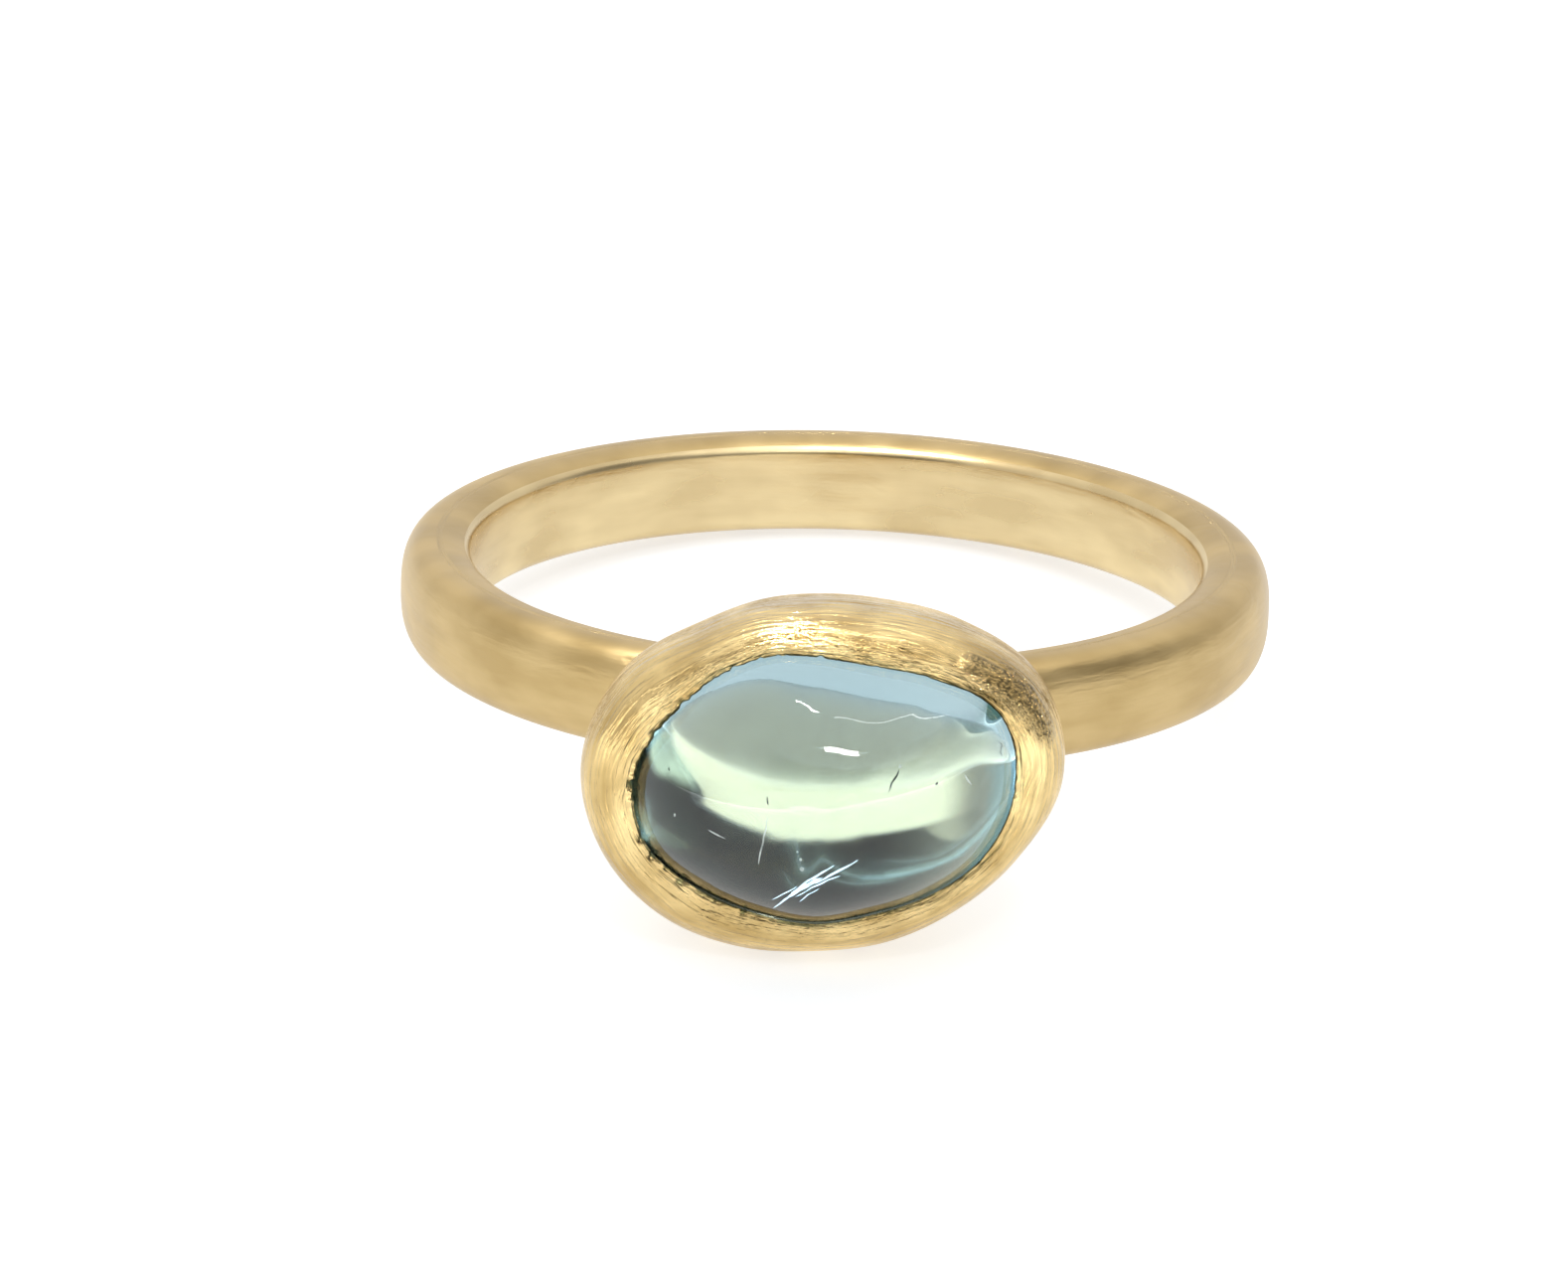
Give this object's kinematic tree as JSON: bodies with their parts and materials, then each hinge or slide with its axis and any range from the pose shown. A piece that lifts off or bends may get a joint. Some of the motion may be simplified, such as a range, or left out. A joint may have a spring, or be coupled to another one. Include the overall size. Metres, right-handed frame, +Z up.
{
  "type": "cabochon ring",
  "caption": "Gold finger ring with an oval aquamarine cabochon held in a rounded, rolled bezel cup soldered onto a plain band.",
  "frame": {"origin": "middle of the bounding box on the surface that the ring lies on", "axes": "+Z up from that surface, +Y from the stone through the finger hole to the back of the band, +X to the right as seen from the stone's side"},
  "size_m": [0.0202, 0.0262, 0.0078],
  "materials": {
    "gold": "satin brushed yellow gold",
    "aquamarine": "polished"
  },
  "bodies": {
    "root": {"band_and_bezel": "gold", "cabochon": "aquamarine"}
  },
  "joints": []
}
